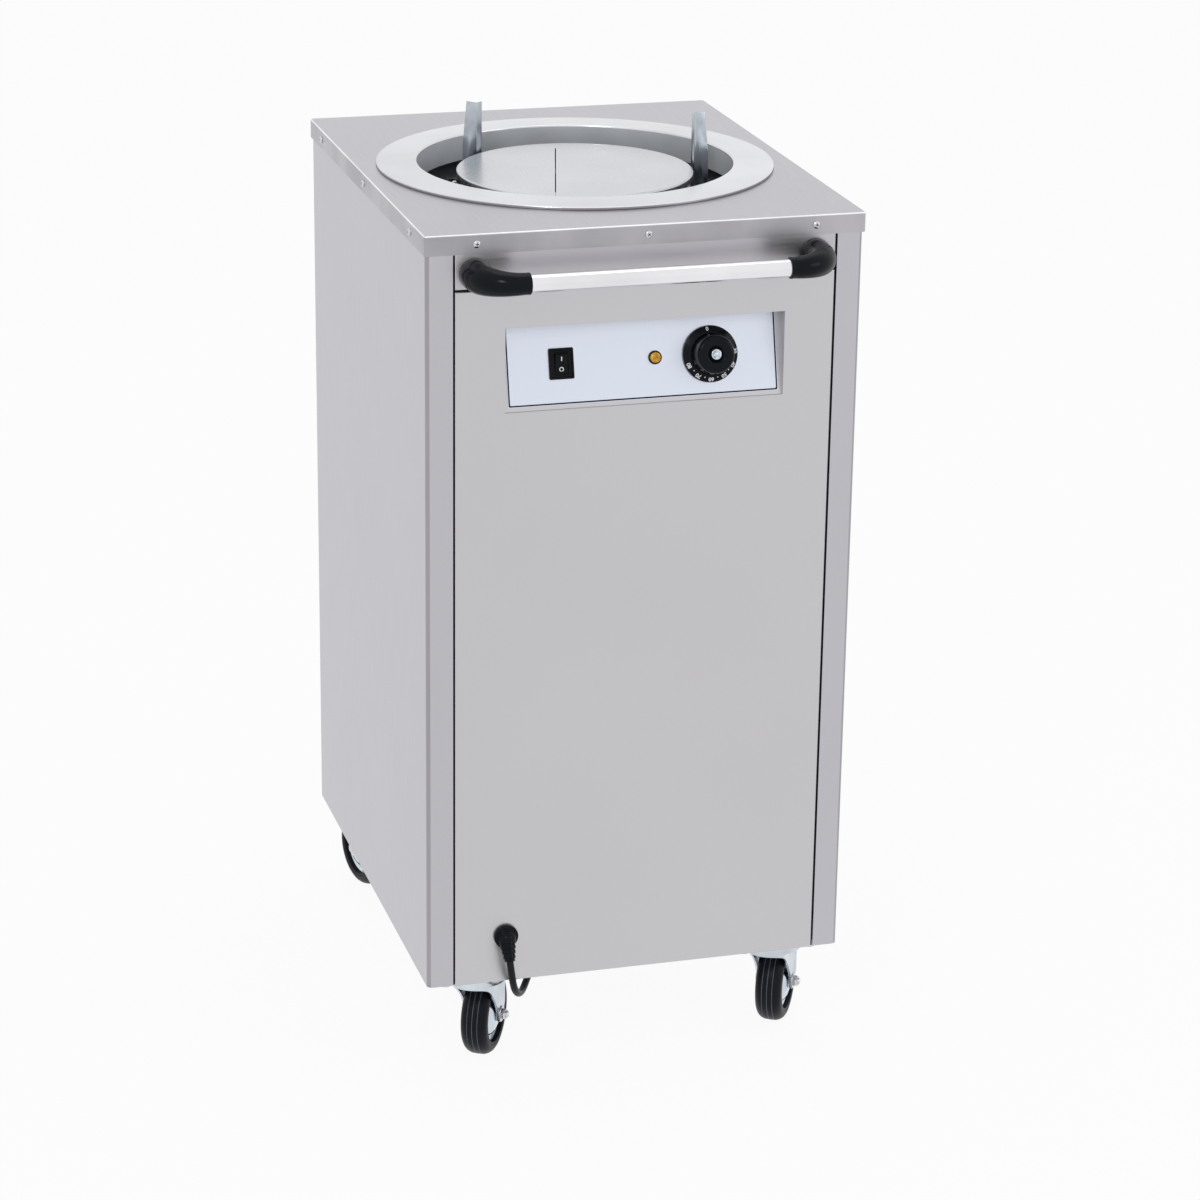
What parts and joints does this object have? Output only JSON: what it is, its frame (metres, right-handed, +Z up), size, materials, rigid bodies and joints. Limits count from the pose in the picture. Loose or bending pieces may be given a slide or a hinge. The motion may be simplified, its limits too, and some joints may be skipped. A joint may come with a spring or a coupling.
{
  "type": "heated plate dispenser cabinet",
  "caption": "Mobile stainless plate warmer cabinet with a round self-levelling plate well in the top, thermostat controls, push handle and swivel casters.",
  "frame": {"origin": "on the floor under the object, midway across its width and midway between the front of the handle and the back of the rear wheels", "axes": "+Z up, front with the handle and controls towards -Y, +X to the right as seen from the front"},
  "size_m": [0.4544, 0.7438, 0.956],
  "materials": {
    "brushed_stainless": "brushed",
    "base_zinc": "satin",
    "bright_ring": "satin",
    "control_plate": "satin",
    "fasteners": "polished",
    "handle_steel": "polished",
    "black_plastic": "gloss",
    "amber_lens": "gloss",
    "knob_metal": "satin",
    "cord_rubber": "matt",
    "terminal": "matt",
    "polished_disc": "polished",
    "guide_steel": "satin",
    "bush": "matt",
    "spring_wire": "satin",
    "element": "matt",
    "caster_zinc": "satin",
    "caster_hub": "polished",
    "tyre_rubber": "matt"
  },
  "bodies": {
    "cabinet": {"left_side_panel": "brushed_stainless", "right_side_panel": "brushed_stainless", "rear_panel": "brushed_stainless", "base_pan": "base_zinc", "top_cover": "brushed_stainless", "top_ring": "bright_ring", "front_panel": "brushed_stainless", "handle_panel": "brushed_stainless", "front_rail": "brushed_stainless", "well_deck": "base_zinc", "well_drum": "base_zinc", "control_recess": "brushed_stainless", "control_plate": "control_plate", "panel_screws": "fasteners", "handle_bar": "handle_steel", "handle_elbow_left": "black_plastic", "handle_elbow_right": "black_plastic", "handle_bolts": "fasteners", "switch_housing": "black_plastic", "lamp_body": "black_plastic", "lamp_lens": "amber_lens", "thermostat_body": "black_plastic", "thermostat_bulb": "knob_metal", "cable_gland": "black_plastic", "gland_nut": "fasteners", "mains_cord": "cord_rubber", "cord_coil": "cord_rubber", "mains_plug": "cord_rubber", "terminal_block": "terminal", "guide_rods": "fasteners", "plate_guide_left": "guide_steel", "plate_guide_right": "guide_steel", "spring_pins": "fasteners", "heating_element": "element", "element_clips": "guide_steel", "caster_plates": "caster_zinc", "caster_bolts": "fasteners"},
    "carrier": {"platform_disc": "polished_disc", "carrier_frame": "guide_steel", "guide_bushings": "bush", "extension_springs": "spring_wire"},
    "switch_rocker": {"switch_rocker": "black_plastic"},
    "knob": {"knob": "black_plastic", "knob_cap": "knob_metal"},
    "front_left_caster": {"caster_fork_front_left": "caster_zinc", "caster_axle_front_left": "caster_zinc"},
    "front_left_wheel": {"caster_hub_front_left": "caster_hub", "caster_tyre_front_left": "tyre_rubber"},
    "front_right_caster": {"caster_fork_front_right": "caster_zinc", "caster_axle_front_right": "caster_zinc"},
    "front_right_wheel": {"caster_hub_front_right": "caster_hub", "caster_tyre_front_right": "tyre_rubber"},
    "rear_left_caster": {"caster_fork_rear_left": "caster_zinc", "caster_axle_rear_left": "caster_zinc"},
    "rear_left_wheel": {"caster_hub_rear_left": "caster_hub", "caster_tyre_rear_left": "tyre_rubber"},
    "rear_right_caster": {"caster_fork_rear_right": "caster_zinc", "caster_axle_rear_right": "caster_zinc"},
    "rear_right_wheel": {"caster_hub_rear_right": "caster_hub", "caster_tyre_rear_right": "tyre_rubber"}
  },
  "joints": [
    {"name": "platform_slide", "type": "slide", "parent": "cabinet", "child": "carrier", "axis": [0, 0, -1], "range_m": [0, 0.45], "stiffness_N_per_m": 650, "springref_m": -0.09, "deforming": ["extension_springs"]},
    {"name": "rocker_pivot", "type": "hinge", "parent": "cabinet", "child": "switch_rocker", "pos_m": [-0.0835, -0.2462, 0.77034], "axis": [-1, 0, 0], "range_deg": [0, 24]},
    {"name": "knob_turn", "type": "hinge", "parent": "cabinet", "child": "knob", "pos_m": [0.07, -0.25687, 0.773], "axis": [0, 0.9703, -0.2419], "range_deg": [0, 300]},
    {"name": "front_left_swivel", "type": "hinge", "parent": "cabinet", "child": "front_left_caster", "pos_m": [-0.163, -0.21869, 0.0982], "axis": [0, 0, 1], "continuous": true},
    {"name": "front_left_roll", "type": "hinge", "parent": "front_left_caster", "child": "front_left_wheel", "pos_m": [-0.146, -0.1904, 0.045], "axis": [0.8572, -0.515, 0], "continuous": true},
    {"name": "front_right_swivel", "type": "hinge", "parent": "cabinet", "child": "front_right_caster", "pos_m": [0.163, -0.21869, 0.0982], "axis": [0, 0, 1], "continuous": true},
    {"name": "front_right_roll", "type": "hinge", "parent": "front_right_caster", "child": "front_right_wheel", "pos_m": [0.18, -0.1904, 0.045], "axis": [0.8572, -0.515, 0], "continuous": true},
    {"name": "rear_left_swivel", "type": "hinge", "parent": "cabinet", "child": "rear_left_caster", "pos_m": [-0.163, 0.23731, 0.0982], "axis": [0, 0, 1], "continuous": true},
    {"name": "rear_left_roll", "type": "hinge", "parent": "rear_left_caster", "child": "rear_left_wheel", "pos_m": [-0.17098, 0.26933, 0.045], "axis": [0.9703, 0.2419, 0], "continuous": true},
    {"name": "rear_right_swivel", "type": "hinge", "parent": "cabinet", "child": "rear_right_caster", "pos_m": [0.163, 0.23731, 0.0982], "axis": [0, 0, 1], "continuous": true},
    {"name": "rear_right_roll", "type": "hinge", "parent": "rear_right_caster", "child": "rear_right_wheel", "pos_m": [0.17429, 0.26832, 0.045], "axis": [0.9397, -0.342, 0], "continuous": true}
  ]
}
